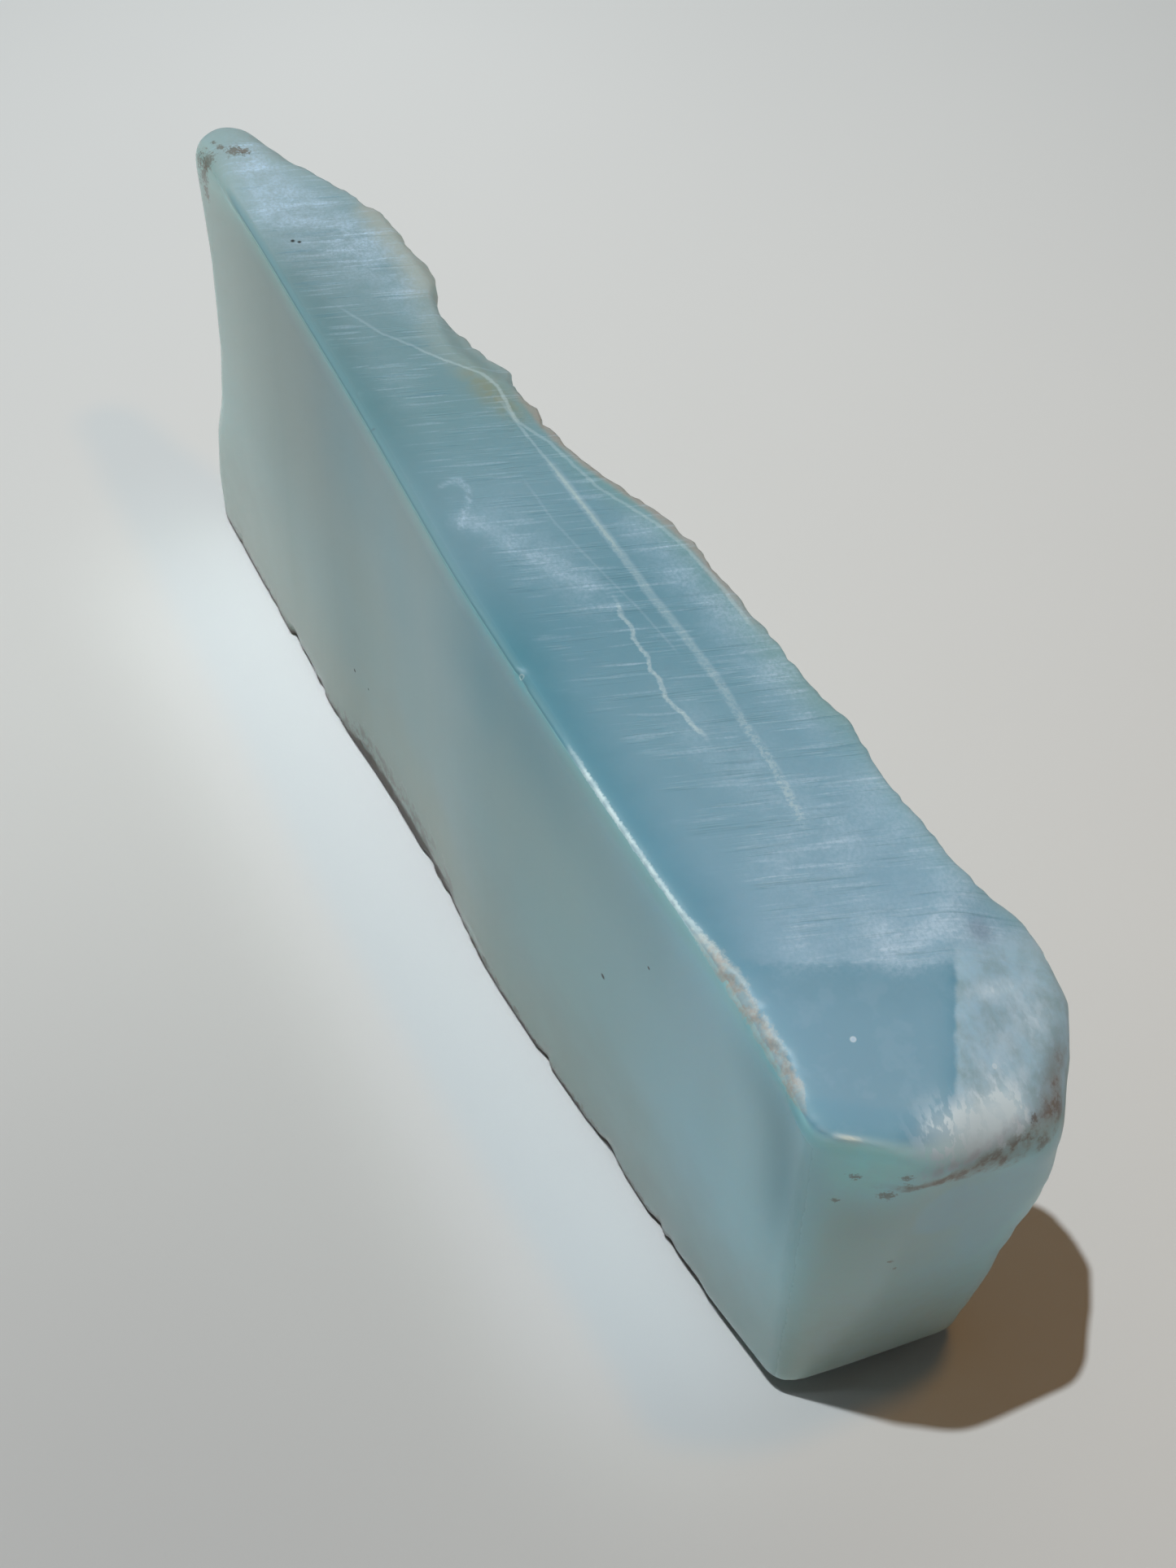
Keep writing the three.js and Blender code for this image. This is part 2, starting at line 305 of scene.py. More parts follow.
# All points of the stone: one pole, cap rings, body rings, cap rings, one pole.
def stonePoints():
    even = np.linspace(0, 1, stoneMesh["stations"] + 1)
    body = ringAims(gathered(even, stoneMesh["endGather"]))
    inward = 1 - np.arange(1, stoneMesh["capRings"])[:, None, None] / stoneMesh["capRings"]
    poles = [body[0].mean(0), body[-1].mean(0)]
    caps = [mix(pole, ring, inward) for pole, ring in zip(poles, (body[0], body[-1]))]
    rings = np.concatenate([caps[0][::-1], body, caps[1]])
    aims = np.concatenate([poles[0][None], rings.reshape(-1, 3), poles[1][None]])
    points = surfaceThrough(insideOf(aims), aims)
    points[np.abs(points[:, 2]) < stoneMesh["levelWithin"], 2] = 0
    return points, rings.shape[0], rings.shape[1]


# Squares between neighbouring rings, and a fan of triangles round each pole.
def stoneFaces(ringCount, around):
    step = np.arange(around)
    after = (step + 1) % around
    start = 1 + np.arange(ringCount - 1)[:, None] * around
    squares = [start + step, start + around + step, start + around + after, start + after]
    last = ringCount * around + 1
    outer = 1 + (ringCount - 1) * around
    fans = [(0, 1 + a, 1 + b) for a, b in zip(step.tolist(), after.tolist())]
    fans += [(last, outer + b, outer + a) for a, b in zip(step.tolist(), after.tolist())]
    return np.stack(squares, -1).reshape(-1, 4).tolist() + fans


# Where the marks lie on the finished stone, in millimetres of the shared frame.
stoneMarks = {
    "mainVein": [
        (-3.6, 0.3), (-2.77, 0.31), (-0.65, 0.43), (1.18, 0.5), (2.41, 0.53), (4.23, 0.54),
        (5.83, 0.61), (7.5, 0.64), (8.81, 0.53), (10.05, 0.51), (11.15, 0.4), (12.1, 0.22),
    ],
    "jaggedVein": [
        (4.1, -0.3), (4.6, -0.45), (5, -0.4), (5.4, -0.55), (6, -0.5), (6.4, -0.68),
        (6.7, -0.62), (7.1, -0.68), (7.5, -0.78), (7.9, -0.62), (8.3, -0.6), (8.8, -0.5),
    ],
    "sideVein": [(-0.7, -0.46), (0.94, -0.47), (3.04, -0.2), (4.6, 0.05), (6.3, 0.2)],
    "ledgeCrack": [
        (-9.6, -2.2), (-8.33, -1.72), (-7.62, -1.43), (-6.86, -0.94), (-6.09, -0.49),
        (-5.41, -0.01), (-4.9, 0.35), (-4.3, 0.5), (-3.2, 0.4), (-2.77, 0.34),
    ],
    "rimLine": [
        (-4.2, 0.3), (-2.75, 0.37), (-1.72, 0.76), (-0.6, 0.95), (0.4, 1.14), (1.4, 1.55),
        (2.33, 1.9), (3.51, 2.14), (4.89, 2.24), (6.6, 2.25),
    ],
    "seamTrack": [  # y and height of the brown seam round the thick end
        (-3.6, 11.6), (-2.66, 11.3), (-1.9, 11.15), (-1.2, 11.3), (-0.4, 11.45), (0.4, 11.5),
        (1.44, 11.6), (2, 11.85), (2.6, 12.1), (3.2, 12.1), (4.2, 12),
    ],
    "clearWidth": [  # x and how far from the wall the saw marks start
        (-20, 0), (-14, 0.1), (-9, 0.2), (-6, 0.6), (-3, 1), (2, 1.1), (6, 1.2), (10, 1.5),
        (13, 1.8), (15, 1.6), (20, 1.5),
    ],
    "curl": [
        (-1.42, -2.52), (-1.52, -2.03), (-1.06, -1.91), (-0.6, -2.1), (-0.41, -2.28), (0.14, -2.7),
    ],
    "smear": [(0, -2.6), (0.06, -2.32), (1.3, -1.8), (2.4, -1.1), (3.4, -0.6), (4.1, -0.5)],
    # painted highlight: the corner line that the warm gleam is drawn along
    "cornerGleam": [(18.6, -3.35), (18.86, -3.2), (19.08, -2.95), (19.32, -2.62)],
    # soft patches: x, y, reach along x, reach along y, strength
    "haze": [
        (-16, -1.7, 1.4, 0.6, 1.2), (-14.6, -1.9, 1.4, 0.5, 1.2), (-13.6, -1.2, 1.6, 0.6, 1),
        (-12.2, -0.5, 1.6, 0.7, 0.8), (-13.4, -2.4, 1.6, 0.4, 0.5), (-10.6, 0, 1.8, 0.8, 0.55),
        (-8.6, -0.2, 1.8, 0.6, 0.4), (-10.8, -1.6, 2.2, 0.8, 0.3), (-5.6, -2, 1.2, 0.6, 0.2),
        (0.6, -1.6, 1.4, 0.8, 0.45), (3, -1, 1.4, 0.6, 0.55), (2.8, 1.35, 1.4, 0.5, 0.6),
        (5.2, 1.8, 2.2, 0.6, 0.8), (8.2, 2.1, 1.8, 0.6, 0.7), (8.6, -0.6, 1.4, 0.5, 0.4),
        (10.5, 0.2, 1.6, 0.9, 0.5), (11.6, 2.3, 0.6, 0.6, 0.5), (12.9, 2.1, 1, 0.9, 0.8),
        (13.1, 0.4, 1.5, 1, 0.6), (13, -1, 1.2, 0.7, 0.45), (14.9, -1.4, 0.8, 0.9, 0.8),
        (15.6, 0.5, 0.9, 1, 1.25), (14.9, 2.4, 0.9, 0.7, 0.75), (15.8, 1.6, 0.6, 1.2, 0.9),
        (16.3, 2.9, 0.5, 0.9, 0.8),
    ],
    "wornFrost": [  # over the milky facet and the worn corner
        (17.3, 1.9, 0.35, 0.9, 0.6), (18.2, 2.4, 0.6, 0.7, 0.35), (19.95, -0.1, 0.5, 0.6, 1.4),
        (19.9, 0.65, 0.5, 0.55, 1.3), (19.75, -1, 0.5, 0.6, 0.8), (19, 1, 0.8, 0.8, 0.3),
    ],
    "stain": [
        (-4.22, 0.2, 0.8, 0.42, 0.9), (-3.4, 0.45, 0.9, 0.36, 0.9), (-5, 0.1, 0.7, 0.36, 0.6),
    ],
    # on the wall: x, z, reach along x, reach along z, strength
    "wallTeal": [
        (-6.4, 13, 2.4, 3, 0.6), (-2.4, 12, 2.8, 3.4, 0.7), (2.8, 12.6, 2.8, 3, 1.1),
        (6.4, 12.8, 2.4, 2.4, 0.7), (11, 12, 2.4, 2.4, 0.3), (17.7, 10, 1, 3.6, 1.15),
        (16.4, 12.2, 1.2, 1.4, 0.5),
    ],
    "wallWarm": [
        (-1, 2.2, 2.4, 2, 0.9), (5, 7.5, 2.2, 5, 0.4), (10.4, 5.5, 2.4, 3.5, 0.5),
    ],
    # on the end face: y, z, reach along y, reach along z, strength
    "endTeal": [
        (-2.4, 11.4, 1, 1.2, 1.2), (-3.3, 8.4, 0.4, 2.6, 0.6), (-1.6, 12.2, 1.2, 0.6, 0.5),
    ],
    "endPale": [
        (-0.5, 9.5, 0.8, 1.3, 1), (0.9, 8.2, 0.7, 2.4, 1), (1.9, 10, 0.6, 1.5, 0.8),
    ],
}


# Sum of soft patches, each a bell curve of both distances, held to a limit.
def patchesOver(name, u, v, limit=1.4):
    total = np.zeros_like(u)
    for placeU, placeV, reachU, reachV, strength in stoneMarks[name]:
        away = ((u - placeU) / reachU) ** 2 + ((v - placeV) / reachV) ** 2
        total = total + strength * np.exp(-away)
    return np.clip(total, 0, limit)


# Plan distance from each point to the nearest stretch of a drawn line.
def awayFromLine(name, x, y):
    nearest = np.full_like(x, np.inf)
    line = stoneMarks[name]
    for (startX, startY), (endX, endY) in zip(line, line[1:]):
        stepX, stepY = endX - startX, endY - startY
        share = ((x - startX) * stepX + (y - startY) * stepY) / (stepX ** 2 + stepY ** 2)
        share = np.clip(share, 0, 1)
        away = np.hypot(x - startX - share * stepX, y - startY - share * stepY)
        nearest = np.minimum(nearest, away)
    return nearest


def addObject(name, data):
    made = bpy.data.objects.new(name, data)
    bpy.context.scene.collection.objects.link(made)
    return made


def makeStone():
    points, ringCount, around = stonePoints()
    x, y, z = points.T
    placed = points.copy()
    placed[:, :2] += stoneShape["centre"]
    mesh = bpy.data.meshes.new("larimarSliver")
    mesh.from_pydata((placed * 0.001).tolist(), [], stoneFaces(ringCount, around))
    mesh.polygons.foreach_set("use_smooth", [True] * len(mesh.polygons))
    placedX, placedY = placed[:, 0], placed[:, 1]
    offWall = y - wallPlace(x, z)
    stored = {  # one value for each point, which the material reads by name
        "underTop": topHeight(x, y) - z, "offWall": offWall, "offEnd": endPlace(y, z) - x,
        "offRim": along(stoneShape["rim"], x) - y,
        "pastBreak": pastLine("break", x, y), "pastMilky": pastLine("milky", x, y),
        "pastLedge": y - along(stoneShape["ledgeStep"], x),
        "pastClear": offWall - along(stoneMarks["clearWidth"], x),
        "endSeam": z - along(stoneMarks["seamTrack"], placedY),
    }
    for name in ("mainVein", "jaggedVein", "sideVein", "ledgeCrack", "rimLine"):
        stored[name] = placedY - along(stoneMarks[name], placedX)
    for name in ("curl", "smear", "cornerGleam"):
        stored[name] = awayFromLine(name, placedX, placedY)
    for name in ("haze", "wornFrost", "stain"):
        stored[name] = patchesOver(name, placedX, placedY)
    for name in ("wallTeal", "wallWarm"):
        stored[name] = patchesOver(name, placedX, z)
    for name in ("endTeal", "endPale"):
        stored[name] = patchesOver(name, placedY, z)
    for name, values in stored.items():
        attribute = mesh.attributes.new(name, "FLOAT", "POINT")
        attribute.data.foreach_set("value", values.astype(np.float32))
    mesh.validate()
    stone = addObject("larimarSliver", mesh)
    print("stone:", len(mesh.vertices), "points,", len(mesh.polygons), "faces")
    return stone


def arithmetic(operation, swapped=False):  # a method that makes one maths node
    def method(wire, other=0.0):
        first, second = (other, wire) if swapped else (wire, other)
        return wire.board.maths(operation, first, second)
    return method


# A node's output that plain arithmetic can be written with.
class Wire:
    def __init__(self, board, socket):
        self.board, self.socket = board, socket

    __add__, __radd__ = arithmetic("ADD"), arithmetic("ADD", True)
    __sub__, __rsub__ = arithmetic("SUBTRACT"), arithmetic("SUBTRACT", True)
    __mul__, __rmul__ = arithmetic("MULTIPLY"), arithmetic("MULTIPLY", True)
    __truediv__, __abs__ = arithmetic("DIVIDE"), arithmetic("ABSOLUTE")


# One material's node tree.
class Board:
    def __init__(self, name):
        self.material = bpy.data.materials.new(name)
        self.material.use_nodes = True
        self.tree = self.material.node_tree
        self.tree.nodes.clear()

    # Makes a shader node of a kind: settings, then each socket's value or link.
    def node(self, kind, settings, inputs, output=0):
        made = self.tree.nodes.new("ShaderNode" + kind)
        for name, value in settings.items():
            if name == "stops":
                ramp = made.color_ramp.elements
                while len(ramp) < len(value):
                    ramp.new(0.5)
                for stop, (place, colour) in zip(ramp, value):
                    stop.position, stop.color = place, (*colour, 1)
            else:
                setattr(made, name, value)
        for name, value in inputs.items():
            if isinstance(value, Wire):
                self.tree.links.new(value.socket, made.inputs[name])
            else:
                made.inputs[name].default_value = value
        return Wire(self, made.outputs[output]) if len(made.outputs) else None

    def finished(self, surface):
        self.node("OutputMaterial", {}, {"Surface": surface})
        return self.material

    def maths(self, operation, first, second=0.0, clamped=False):
        settings = {"operation": operation, "use_clamp": clamped}
        return self.node("Math", settings, {0: first, 1: second})

    def larger(self, first, second):
        return self.maths("MAXIMUM", first, second)

    def held(self, value):  # kept between 0 and 1
        return self.maths("ADD", value, clamped=True)

    def rise(self, low, high, value, start=0.0, end=1.0):  # smooth step from start to end
        ends = {"From Min": low, "From Max": high, "To Min": start, "To Max": end}
        settings = {"interpolation_type": "SMOOTHSTEP"}
        return self.node("MapRange", settings, {"Value": value, **ends})

    def fall(self, low, high, value):
        return self.rise(low, high, value, 1.0, 0.0)

    def blend(self, first, second, share):  # two colours mixed by a share
        inputs = {0: share, 6: colourOf(first), 7: colourOf(second)}
        return self.node("Mix", {"data_type": "RGBA"}, inputs, 2)

    def run(self, stops, place):  # colours that change along a length
        first, last = stops[0][0], stops[-1][0]
        shares = [((at - first) / (last - first), tint(*colour)) for at, *colour in stops]
        share = (place - first) / (last - first)
        return self.node("ValToRGB", {"stops": shares}, {0: self.held(share)})

    def value(self, name):  # a value stored on the mesh
        return self.node("Attribute", {"attribute_name": name}, {}, 2)

    def joined(self, x, y, z):
        return self.node("CombineXYZ", {}, {0: x, 1: y, 2: z})

    def noise(self, vector, scale, detail=2.0, roughness=0.5, distortion=0.0):
        inputs = {"Vector": vector, "Scale": scale, "Detail": detail, "Roughness": roughness}
        return self.node("TexNoise", {}, {**inputs, "Distortion": distortion})

    def vectors(self, operation, first, second, output=1):  # output 1 is a number, 0 a vector
        settings = {"operation": operation}
        return self.node("VectorMath", settings, {0: first, 1: second}, output)

    def scaled(self, vector, factors):
        return self.vectors("MULTIPLY", vector, factors, 0)

    def dot(self, vector, direction):
        return self.vectors("DOT_PRODUCT", vector, direction)

    def awayFrom(self, vector, place):
        return self.vectors("DISTANCE", vector, place)


def colourOf(value):
    return value if isinstance(value, Wire) else (*value, 1)


def tint(red, green, blue):  # a display colour from 0 to 255 as the linear colour a shader takes
    parts = [part / 255 for part in (red, green, blue)]
    return tuple(p / 12.92 if p <= 0.04045 else ((p + 0.055) / 1.055) ** 2.4 for p in parts)


# Colours and finish of the stone; lengths in millimetres.
stoneLook = {
    # colours along the stone: x, then red, green and blue
    "topRun": [
        (-19.5, 160, 180, 180), (-15.5, 150, 176, 182), (-12, 132, 160, 166),
        (-4, 124, 162, 171), (0, 128, 168, 183), (4, 112, 160, 178),
        (8, 126, 170, 188), (15, 138, 180, 202),
    ],
    "wallRun": [
        (-19, 194, 216, 210), (-12, 128, 164, 161), (-8, 116, 154, 154),
        (-4, 120, 161, 161), (2, 132, 175, 177), (8, 150, 198, 202),
        (14, 168, 220, 234), (18.5, 184, 238, 248),
    ],
    # on the top close beside the wall, where the saw marks stop and the stone looks deeper
    "besideRun": [
        (-16, 164, 188, 190), (-13.6, 146, 170, 174), (-11, 118, 146, 150),
        (-5, 98, 140, 148), (-1, 120, 156, 168), (1.5, 116, 154, 168),
        (4.5, 78, 140, 156), (11, 93, 151, 173), (16, 104, 154, 176),
    ],
    # stone: top, fresh break, milky facet, wall, end face, broken side, ledges and rim
    "topShade": tint(100, 146, 164), "rimGreen": tint(122, 162, 160),
    "tipGrey": tint(150, 168, 166),
    "breakFace": tint(119, 170, 194), "breakDeep": tint(92, 150, 173),
    "milk": tint(174, 210, 230), "milkGrey": tint(150, 180, 190),
    "wallTeal": tint(70, 164, 184), "wallWarm": tint(152, 173, 158),
    "wallLow": tint(137, 148, 132),
    "endGrey": tint(188, 222, 220), "endAqua": tint(184, 232, 240),
    "endDeep": tint(196, 248, 255), "endLow": tint(166, 182, 169),
    "brokenBlue": tint(140, 178, 188), "brokenPale": tint(186, 204, 206),
    "ledge": tint(168, 178, 170), "rimBeige": tint(160, 158, 150), "stain": tint(142, 156, 142),
    # skin: frost, chipped edge, painted shade over the wall's edge and just below it,
    # painted highlights (gleams)
    "frost": tint(190, 216, 236), "frostGreen": tint(192, 214, 216),
    "frostWhite": tint(228, 246, 255), "frostPink": tint(206, 216, 226),
    "chip": tint(200, 210, 206), "chipPink": tint(196, 184, 170), "chipLine": tint(226, 250, 255),
    "edgeShade": tint(108, 152, 162), "wallGlowShade": tint(172, 216, 214),
    "paintedGleam": tint(250, 252, 250), "paintedWarmGleam": tint(252, 250, 226),
    # dirt and specks; the soil tone also paints shade along the wall's foot
    "brown": tint(108, 86, 68), "seam": tint(136, 112, 94), "soilAndShade": tint(72, 60, 48),
    "purple": tint(130, 136, 162), "speck": tint(34, 38, 38),
    # centre of the painted highlight at the corner, and of the smudge
    "paintedGleamPlace": (19.12, -2.86, 13.2), "smudgePlace": (16.1, 2.35, 13.4),
    "sawTurn": 18.3,  # degrees the saw marks lean from +Y towards +X
    "sawFine": 0.075, "sawBroad": 0.21, "sawLength": 2.1,
    "subsurface": 1.0, "subsurfaceTint": (0.6, 1.0, 1.08), "subsurfaceReach": 0.0026,  # metres
    "ior": 1.6, "wallRoughness": 0.16, "topRoughness": 0.45, "edgeRoughness": 0.6,
    "skinIor": 1.3, "skinRoughness": 0.5, "bumpHeight": 0.00002,  # metres
}

# How fully each tone covers the stone where its mask is full.
toneCover = {
    "besideRun": 0.75, "rimGreen": 0.6, "topShade": 0.5, "tipGrey": 0.6, "wallTeal": 0.7,
    "wallWarm": 0.5, "wallLow": 0.7, "endAqua": 0.85, "endLow": 0.9, "endDeep": 0.8,
    "ledge": 0.9, "rimBeige": 0.9, "stain": 0.8, "seam": 0.75, "brown": 0.5, "purple": 0.4,
}

# How fully the matt skin covers the stone at each kind of frosted mark, and at the painted
# glints.
frostCover = {
    "haze": 0.5, "scratch": 0.17, "strongScratch": 0.18, "smear": 0.22, "curl": 0.42,
    "worn": 0.6, "paintedGlint": 0.85,
}

# Small round marks and painted highlights: x, y, z and radius.
stoneSpecks = {
    "dark": [
        (-12.38, -2.05, 15.53, 0.08), (-12.25, -1.9, 15.52, 0.07), (-4.15, -3.17, 14.9, 0.09),
        (-6.87, -3.54, 3.79, 0.075), (-5.86, -3.5, 3.86, 0.05), (9.63, -3.57, 7.68, 0.1),
        (11.79, -3.52, 10.53, 0.06), (-6.71, 0.27, 14.85, 0.06),
    ],
    # painted highlights: small bright dots standing in for glints of light
    "paintedGleam": [(17.27, -1.68, 13.38, 0.075), (18.93, 0.85, 12.84, 0.07), (5.24, -3.5, 14.28, 0.09)],
    "brown": [
        (-17.5, -2.28, 15.82, 0.14), (-17.87, -2.35, 15.8, 0.1), (-17.12, -1.98, 15.82, 0.28),
        (-16.95, -1.7, 15.82, 0.2), (-17.4, -2.76, 15.5, 0.34), (-17.42, -2.86, 15.1, 0.36),
        (-17.3, -2.92, 14.6, 0.26), (-17.9, -2.7, 15.3, 0.32), (-17.9, -2.7, 14.7, 0.26),
        (19.57, -2, 10.8, 0.2), (19.21, -2.66, 11.5, 0.14), (19.81, -1.76, 11.67, 0.14),
        (19.72, -1.66, 11.3, 0.15), (19, -2.9, 10.4, 0.1), (19.9, 1.7, 12.3, 0.14),
        (20, 1.3, 12, 0.12), (19.6, 2.2, 12.6, 0.14),
        (19.5, -1.4, 7.3, 0.09), (19.4, -1.2, 6.8, 0.07), (19.7, 0, 8.4, 0.07),
    ],
}


# Saw marks across the top: fine and broad scratch lines, light and dark, in uneven patches.
def sawMarks(board, place, onSawn):
    look = stoneLook
    turn = math.radians(look["sawTurn"])
    across = board.dot(place, (math.cos(turn), -math.sin(turn), 0))
    lengthwise = board.dot(place, (math.sin(turn), math.cos(turn), 0))

    def lines(pitch, length, seed, detail=1):
        place = board.joined(across / pitch, lengthwise / length, seed)
        return board.noise(place, 1, detail, 0.55)

    patch = board.noise(board.joined(across / 0.9, lengthwise / 1.5, 7), 1, 3, 0.6)
    clear = board.rise(-0.4, 0.4, board.value("pastClear") + 2.4 * (patch - 0.5))
    present = clear * onSawn * board.rise(0.4, 0.62, lines(0.5, 2.4, 12, 3))
    tone = (lines(look["sawFine"], look["sawLength"], 1, 2) - 0.5) * 1.2
    tone = tone + (lines(look["sawBroad"], look["sawLength"] * 2, 4, 2) - 0.5) * 0.9
    light = board.rise(0.02, 0.34, tone) * present
    dark = board.rise(0.02, 0.3, -1.0 * tone) * present
    strong = board.rise(0.69, 0.75, lines(0.12, 1.9, 9, 0))
    strong = strong + board.rise(0.65, 0.71, lines(0.15, 3, 31, 1))
    strong = strong * clear * onSawn
    return light, dark, strong, patch


# Noises the marks share: lumps in a millimetre, detail, roughness, distortion.
stoneNoises = {
    "cloud": (0.3, 3, 0.5), "ragged": (1.3, 3, 0.6), "mottle": (1.5, 4, 0.6, 0.2),
    "fine": (2.6, 4, 0.6), "milkGrain": (2.6, 4, 0.65), "grit": (11, 3, 0.65),
}


# What the material reads: place in millimetres, distances stored on the mesh, noises, and masks
# from 0 to 1 for the faces, each border as soft as the stone is worn there.
def stoneFields(board):
    metres = board.node("TexCoord", {}, {}, 3)
    at = SimpleNamespace(place=board.scaled(metres, (1000, 1000, 1000)))
    at.x, at.y, at.z = [
        board.node("SeparateXYZ", {}, {0: at.place}, axis) for axis in range(3)
    ]
    for name in ("underTop", "offWall", "offEnd", "offRim", "pastBreak", "endSeam"):
        setattr(at, name, board.value(name))
    for name, settings in stoneNoises.items():
        setattr(at, name, board.noise(at.place, *settings))

    at.waver = at.fine - 0.5
    at.tip = board.fall(-17, -14, at.x)
    wallBorder = 0.02 + 0.9 * at.tip + 0.25 * board.rise(18, 19, at.x)
    overWall = board.rise(-1, 1, (at.offWall - at.underTop + 0.08) / wallBorder)
    overEnd = board.rise(-0.3, 0.3, at.offEnd - at.underTop)
    at.onTop = overWall * overEnd * board.fall(0.3, 0.8, at.underTop)
    at.onWall = board.fall(0.2, 0.6, at.offWall)
    at.onEnd = board.fall(0.1, 0.6, at.offEnd)
    at.pastSaw = board.rise(-0.08, 0.12, at.pastBreak + 0.1 + 0.9 * (at.ragged - 0.5))
    milky = board.value("pastMilky") + 0.2 * at.waver
    at.pastMilk = board.rise(-0.05, 0.1, milky) * board.rise(16, 16.8, at.x)
    at.light, at.dark, at.strong, at.patch = sawMarks(board, at.place, at.onTop * (1 - at.pastSaw))
    return at


# Paints one of the look's tones over a colour, by a mask times the tone's cover.
def painted(board, colour, tone, mask):
    return board.blend(colour, stoneLook[tone], board.held(mask * toneCover[tone]))


# Top: colours run along the stone, deeper beside the wall, greenish by the rim.
def topColour(board, at):
    look = stoneLook
    top = board.run(look["topRun"], at.x + 2.0 * (at.cloud - 0.5))
    beside = board.fall(0.2, 1.6, at.offWall + 0.6 * (at.patch - 0.5))
    top = board.blend(top, board.run(look["besideRun"], at.x), beside * toneCover["besideRun"])
    byRim = board.fall(0.1, 1.1, at.offRim) * board.rise(-3, 1, at.x) * board.fall(9, 11, at.x)
    top = painted(board, top, "rimGreen", byRim)
    top = painted(board, top, "topShade", at.dark)
    top = painted(board, top, "tipGrey", at.tip)
    breakTone = board.rise(-0.2, 1.4, at.pastBreak + 0.8 * (at.mottle - 0.5))
    breakFace = board.blend(look["breakDeep"], look["breakFace"], 0.5 + 0.5 * breakTone)
    top = board.blend(top, breakFace, at.pastSaw)
    milk = board.blend(look["milk"], look["milkGrey"], board.rise(0.3, 0.75, at.mottle))
    return board.blend(top, milk, at.pastMilk)


# Wall: colours run along it in upright clouds, duller and warmer towards the foot.
def wallColour(board, at):
    upright = board.noise(board.scaled(at.place, (0.26, 0.2, 0.06)), 1, 1, 0.4)
    wall = board.run(stoneLook["wallRun"], at.x)
    teal = board.value("wallTeal") + 0.5 * (upright - 0.5) * board.rise(2, 9, at.z)
    wall = painted(board, wall, "wallTeal", teal)
    wall = painted(board, wall, "wallWarm", board.value("wallWarm") + 0.7 * (0.5 - upright))
    return painted(board, wall, "wallLow", board.fall(0.2, 7, at.z + 3.0 * (at.cloud - 0.5)))


# End face: grey green towards the wall, aqua towards the broken side, duller below.
def endColour(board, at):
    look = stoneLook
    towardsBreak = board.rise(-2.2, 1.8, at.y + 1.6 * (at.cloud - 0.5))
    end = board.blend(look["endGrey"], look["endAqua"], towardsBreak)
    at.endPale = board.rise(0.3, 0.6, board.value("endPale") + 0.1 * at.waver)
    end = painted(board, end, "endAqua", at.endPale)
    end = painted(board, end, "endLow", board.fall(1, 6.5, at.z + 1.4 * at.waver))
    return painted(board, end, "endDeep", board.value("endTeal"))


# All faces joined, then the ledges, paler where the stone is thin, the thin rim and the stain.
def stoneColour(board, at):
    look = stoneLook
    rocky = board.noise(board.scaled(at.place, (0.8, 0.8, 0.5)), 1, 5, 0.6, 0.3)
    broken = board.blend(look["brokenBlue"], look["brokenPale"], board.rise(0.36, 0.72, rocky))
    side = board.blend(broken, endColour(board, at), at.onEnd)
    wallShare = board.rise(-0.9, 0.9, at.offEnd - at.offWall) * at.onWall
    side = board.blend(side, wallColour(board, at), wallShare)
    colour = board.blend(side, topColour(board, at), at.onTop)

    ledge = board.rise(-0.85, -0.15, board.value("pastLedge") + 0.5 * at.waver)
    ledge = ledge * board.rise(-13.8, -13, at.x) * board.fall(-4.6, -4, at.x)
    ledge = ledge * (0.4 + 0.6 * board.fall(-9.2, -8.2, at.x))
    colour = painted(board, colour, "ledge", ledge)
    rim = board.fall(0.1, 0.34, at.offRim + 0.2 * at.waver) * board.rise(-4.4, -3.4, at.x)
    rim = rim * board.fall(4.5, 7.5, at.x) * board.fall(0.6, 1.2, at.underTop)
    colour = painted(board, colour, "rimBeige", rim)
    stain = board.value("stain") * (0.4 + 0.6 * board.rise(0.3, 0.6, at.fine)) * at.onTop
    return painted(board, colour, "stain", stain)


# Pale lines drawn on the top: mesh value read, x at both ends, half width, waver, cover.
stoneLines = {
    "mainVein": ("mainVein", -1.5, 12.4, 0.17, 0.1, 0.36),
    "mainCore": ("mainVein", -3.6, 3, 0.06, 0.06, 0.288),
    "jaggedVein": ("jaggedVein", 3.6, 9.2, 0.085, 0.2, 0.5),
    "sideVein": ("sideVein", -1.2, 6.6, 0.05, 0.05, 0.16),
    "crack": ("ledgeCrack", -9.6, -2.6, 0.07, 0.12, 0.42),
    "rimLine": ("rimLine", -4.2, 6.8, 0.075, 0.12, 0.3),
}


# Each line is full in its middle and fades towards its half width and both ends, some in grains.
def veinsAndCracks(board, at, grains):
    drawn = {}
    for name, (stored, start, end, width, waver, cover) in stoneLines.items():
        offset = board.value(stored) + waver * at.waver + 0.1 * (at.grit - 0.5)
        reach = board.rise(start, start + 1.2, at.x) * board.fall(end - 0.9, end, at.x)
        drawn[name] = board.fall(width * 0.3, width, abs(offset)) * reach * at.onTop * cover
    speckled = 0.35 + 0.5 * board.rise(5, 10, at.x)
    drawn["mainVein"] = drawn["mainVein"] * (1 - speckled * (1 - grains))
    drawn["jaggedVein"] = drawn["jaggedVein"] * (0.6 + 0.4 * grains)
    drawn["crack"] = drawn["crack"] * (0.5 + 0.5 * board.rise(-8, -5, at.x))
    return sum(drawn.values()), drawn["jaggedVein"]
